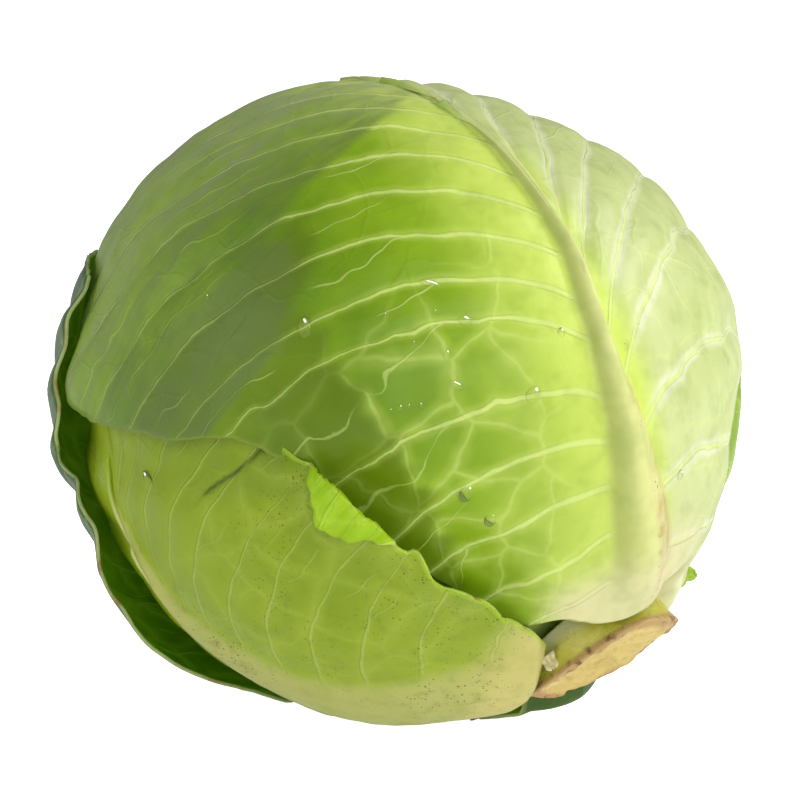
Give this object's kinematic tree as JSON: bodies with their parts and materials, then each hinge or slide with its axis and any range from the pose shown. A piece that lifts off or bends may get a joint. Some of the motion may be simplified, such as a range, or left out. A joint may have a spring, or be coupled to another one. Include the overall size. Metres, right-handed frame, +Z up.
{
  "type": "cabbage head",
  "caption": "Ball-shaped green cabbage head lying on its side, with loose wrapper leaves round a packed core and a cut stem.",
  "frame": {"origin": "middle of the flat spot the head rests on", "axes": "+Z up from the table; the stem points right (+X), to the front (-Y) and down; the picture looks along +Y"},
  "size_m": [0.1785, 0.1789, 0.1642],
  "materials": {
    "stem_flesh": "moist cut plant flesh, cream to ochre",
    "inner_leaves": "pale green leaf, satin",
    "pale_leaf": "pale green waxy leaf with cream ribs",
    "mid_leaf": "green waxy leaf with cream ribs",
    "dark_leaf": "dark green waxy leaf"
  },
  "bodies": {
    "root": {"stem": "stem_flesh", "inner_head": "inner_leaves", "leaf_crown": "mid_leaf", "leaf_right": "mid_leaf", "leaf_front": "pale_leaf", "leaf_lower": "mid_leaf", "leaf_outer": "dark_leaf"}
  },
  "joints": []
}
